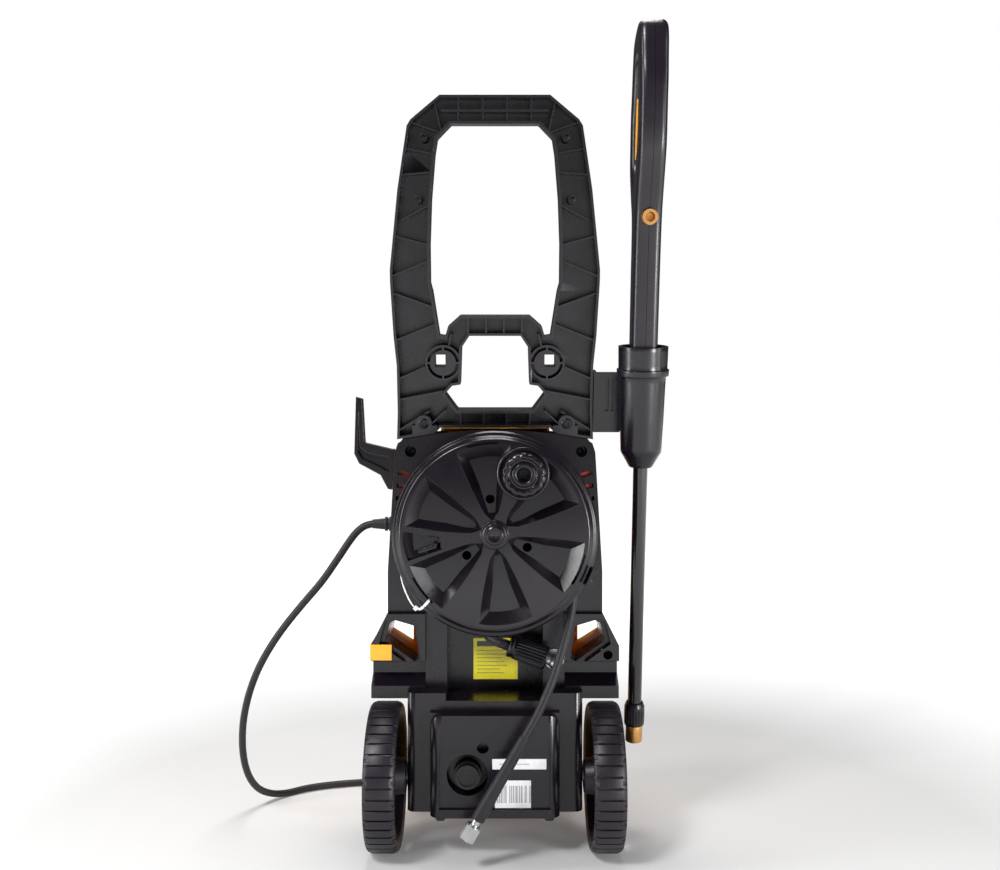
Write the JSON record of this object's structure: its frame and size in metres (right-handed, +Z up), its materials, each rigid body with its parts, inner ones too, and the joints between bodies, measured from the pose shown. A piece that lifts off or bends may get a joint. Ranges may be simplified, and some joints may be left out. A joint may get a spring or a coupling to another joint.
{
  "type": "pressure washer",
  "caption": "Upright electric pressure washer on wheels, with a pull handle, a hose reel with a crank, and a spray gun and lance in a side holder.",
  "frame": {"origin": "on the floor, at the middle of the footprint of the washer without its free cord and hose", "axes": "+Z up, -Y towards the reel side, +X towards the spray gun"},
  "size_m": [0.5321, 0.5147, 0.9493],
  "materials": {
    "case_black": "moulded, satin with a fine grain",
    "frame_black": "ribbed moulding, satin",
    "amber_plastic": "glossy amber moulding",
    "reel_black": "moulded, soft sheen",
    "trim_black": "dark moulding",
    "gun_black": "smooth moulding with a soft sheen",
    "wheel_black": "moulded tread, worn satin",
    "rubber_black": "matt rubber",
    "dark_steel": "black oxide",
    "red_plastic": "moulding",
    "steel": "zinc plated",
    "lance_coating": "black powder coating with a low sheen",
    "brass": "turned",
    "copper_pipe": "drawn pipe",
    "cast_aluminium": "cast",
    "label_yellow": "printed film",
    "label_white": "printed film",
    "tie_white": "nylon",
    "cord_black": "flexible sheath",
    "hose_black": "hose cover"
  },
  "bodies": {
    "root": {"rear_shell": "case_black", "front_shell": "amber_plastic", "front_grille": "trim_black", "base_plate": "case_black", "front_feet": "rubber_black", "case_screws": "dark_steel", "handle_frame": "frame_black", "handle_cover": "frame_black", "handle_screws": "dark_steel", "gun_holder": "case_black", "cord_hook": "case_black", "axle": "steel", "axle_caps": "trim_black", "water_inlet": "trim_black", "outlet_port": "steel", "rating_label": "label_yellow", "info_labels": "label_white", "cord_gland": "rubber_black", "power_cord": "cord_black", "cord_coil": "cord_black", "plug": "cord_black", "motor_housing": "cast_aluminium", "pump_housing": "cast_aluminium", "pump_pistons": "steel", "pump_pipes": "copper_pipe", "capacitor": "cast_aluminium", "switch_box": "trim_black", "reel_axle": "reel_black", "hose_free": "hose_black", "hose_sleeve": "rubber_black", "hose_ferrule": "steel", "link_pipe": "hose_black", "vent_ducts": "red_plastic"},
    "wheel_left_body": {"wheel_left": "wheel_black"},
    "wheel_right_body": {"wheel_right": "wheel_black"},
    "reel": {"reel_drum": "reel_black", "reel_flange": "reel_black", "reel_hub_cap": "reel_black", "crank_pin": "dark_steel", "hose_clip": "reel_black", "cable_tie": "tie_white", "hose_wound": "hose_black"},
    "crank_knob_body": {"crank_knob": "reel_black"},
    "gun": {"gun_shell_left": "gun_black", "gun_shell_right": "gun_black", "gun_valve": "brass", "trigger_pin": "steel", "lance": "lance_coating", "nozzle": "brass"},
    "trigger_body": {"trigger": "amber_plastic"},
    "trigger_lock_body": {"trigger_lock": "trim_black"},
    "nozzle_adjuster_body": {"nozzle_adjuster": "trim_black"},
    "switch_knob_body": {"switch_knob": "trim_black"},
    "motor_rotor": {"motor_shaft": "steel", "cooling_fan": "trim_black", "swash_plate": "cast_aluminium"},
    "hose_nut_body": {"hose_nut": "steel"},
    "hand_nut_body": {"hand_nut": "trim_black"},
    "inlet_cap_body": {"inlet_cap": "trim_black"}
  },
  "joints": [
    {"name": "wheel_left_spin", "type": "hinge", "parent": "root", "child": "wheel_left_body", "pos_m": [-0.14625, -0.04465, 0.087], "axis": [1, 0, 0], "continuous": true},
    {"name": "wheel_right_spin", "type": "hinge", "parent": "root", "child": "wheel_right_body", "pos_m": [0.11475, -0.04465, 0.087], "axis": [1, 0, 0], "continuous": true},
    {"name": "reel_spin", "type": "hinge", "parent": "root", "child": "reel", "pos_m": [-0.01575, -0.04465, 0.3827], "axis": [0, 1, 0], "continuous": true},
    {"name": "crank_knob_spin", "type": "hinge", "parent": "reel", "child": "crank_knob_body", "pos_m": [0.01637, -0.14465, 0.45158], "axis": [0, 1, 0], "continuous": true},
    {"name": "gun_lift", "type": "slide", "parent": "root", "child": "gun", "axis": [0, -0.1822, 0.9833], "range_m": [0, 0.28]},
    {"name": "trigger_pull", "type": "hinge", "parent": "gun", "child": "trigger_body", "pos_m": [0.15725, -0.10543, 0.7717], "axis": [1, 0, 0], "range_deg": [0, 6], "stiffness_Nm_per_rad": 0.6, "springref_deg": -8.59},
    {"name": "trigger_lock_turn", "type": "hinge", "parent": "trigger_body", "child": "trigger_lock_body", "pos_m": [0.15725, -0.10926, 0.81981], "axis": [1, 0, 0], "range_deg": [0, 35]},
    {"name": "nozzle_adjust", "type": "hinge", "parent": "gun", "child": "nozzle_adjuster_body", "pos_m": [0.15725, 0.00384, 0.14919], "axis": [0, -0.1822, 0.9833], "range_deg": [-90, 90]},
    {"name": "switch_turn", "type": "hinge", "parent": "root", "child": "switch_knob_body", "pos_m": [-0.01575, 0.15535, 0.372], "axis": [0, 1, 0], "range_deg": [0, 90]},
    {"name": "motor_spin", "type": "hinge", "parent": "root", "child": "motor_rotor", "pos_m": [-0.01575, 0.06735, 0.3], "axis": [0, 0, 1], "continuous": true},
    {"name": "hose_nut_swivel", "type": "hinge", "parent": "root", "child": "hose_nut_body", "pos_m": [-0.04365, -0.11465, 0.04475], "axis": [-0.5, 0, -0.866], "continuous": true},
    {"name": "hand_nut_turn", "type": "hinge", "parent": "root", "child": "hand_nut_body", "pos_m": [0.02325, -0.04665, 0.23525], "axis": [0.9455, 0, -0.3257], "continuous": true},
    {"name": "inlet_cap_turn", "type": "hinge", "parent": "root", "child": "inlet_cap_body", "pos_m": [-0.04775, -0.07965, 0.099], "axis": [0, 1, 0], "continuous": true}
  ]
}
